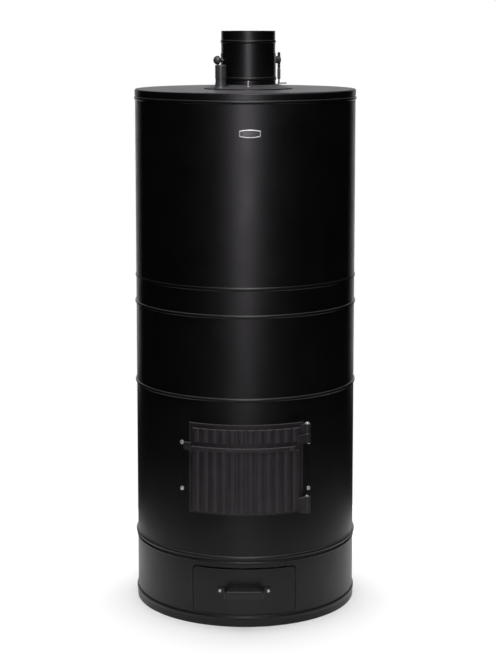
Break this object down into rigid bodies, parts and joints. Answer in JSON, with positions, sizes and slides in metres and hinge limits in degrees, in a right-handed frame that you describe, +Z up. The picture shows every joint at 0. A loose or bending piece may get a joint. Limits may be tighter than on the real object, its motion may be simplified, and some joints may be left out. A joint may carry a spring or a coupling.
{
  "type": "wood burning stove",
  "caption": "Tall round steel-clad wood heater with a brick lining, ribbed cast fire door, ash drawer in the plinth and a top flue with a butterfly damper.",
  "frame": {"origin": "centre of the underside of the base plate, on the floor and on the drum's axis", "axes": "+Z up along the drum, -Y out of the fire door, +X to the door's hinge side"},
  "size_m": [0.6091, 0.6426, 1.566],
  "materials": {
    "black_steel": "satin black powder coat",
    "cast_black": "painted casting",
    "raw_cast": "bare casting",
    "raw_steel": "mill finish",
    "bright_steel": "zinc plated",
    "firebrick": "matt chamotte",
    "rope": "braided glass rope",
    "handle_black": "black enamel",
    "cap_grey": "satin grey",
    "grip_grey": "moulded",
    "badge_chrome": "polished",
    "badge_field": "satin"
  },
  "bodies": {
    "stove": {"plinth_jacket": "black_steel", "lower_jacket": "black_steel", "middle_jacket": "black_steel", "band_jacket": "black_steel", "upper_jacket": "black_steel", "lid": "black_steel", "foot_ring": "black_steel", "rosette": "black_steel", "flue_collar": "black_steel", "flue_spigot": "black_steel", "door_frame": "cast_black", "latch_keeper": "cast_black", "grate": "raw_cast", "base_plate": "raw_steel", "deck_plates": "raw_steel", "door_throat": "raw_steel", "drawer_rails": "raw_steel", "frame_screws": "bright_steel", "hinge_pins": "bright_steel", "rosette_studs": "bright_steel", "plinth_bricks": "firebrick", "lining_course_1": "firebrick", "lining_course_2": "firebrick", "lining_course_3": "firebrick", "lining_course_4": "firebrick", "lining_course_5": "firebrick", "lining_course_6": "firebrick", "core_cap": "firebrick", "hearth_bricks": "firebrick", "lower_baffle": "firebrick", "upper_baffle": "firebrick", "port_neck": "cap_grey", "badge_rim": "badge_chrome", "badge_plate": "badge_field"},
    "door": {"fire_door": "cast_black", "door_liner": "raw_steel", "liner_spacers": "raw_steel", "door_seal": "rope", "latch_pivot_pin": "cast_black"},
    "latch": {"latch_bar": "cast_black"},
    "drawer": {"drawer_front": "black_steel", "ash_tray": "raw_steel", "drawer_handle": "handle_black", "handle_screws": "bright_steel"},
    "damper": {"damper_shaft": "bright_steel", "damper_plate": "raw_cast", "plate_screws": "bright_steel", "shaft_knob": "cap_grey", "damper_lever": "cap_grey", "lever_grip": "grip_grey"},
    "port_lid": {"port_cap": "cap_grey"}
  },
  "joints": [
    {"name": "door_swing", "type": "hinge", "parent": "stove", "child": "door", "pos_m": [0.163, -0.265, 0.42], "axis": [0, 0, 1], "range_deg": [0, 120]},
    {"name": "latch_lift", "type": "hinge", "parent": "door", "child": "latch", "pos_m": [0.122, -0.29, 0.4815], "axis": [0, 1, 0], "range_deg": [0, 2.3]},
    {"name": "drawer_slide", "type": "slide", "parent": "stove", "child": "drawer", "axis": [0, -1, 0], "range_m": [0, 0.3]},
    {"name": "damper_turn", "type": "hinge", "parent": "stove", "child": "damper", "pos_m": [0.008, 0, 1.4875], "axis": [-0.9205, -0.3907, 0], "range_deg": [0, 90]},
    {"name": "port_cap_lift", "type": "slide", "parent": "stove", "child": "port_lid", "axis": [0, 0, 1], "range_m": [0, 0.06]}
  ]
}
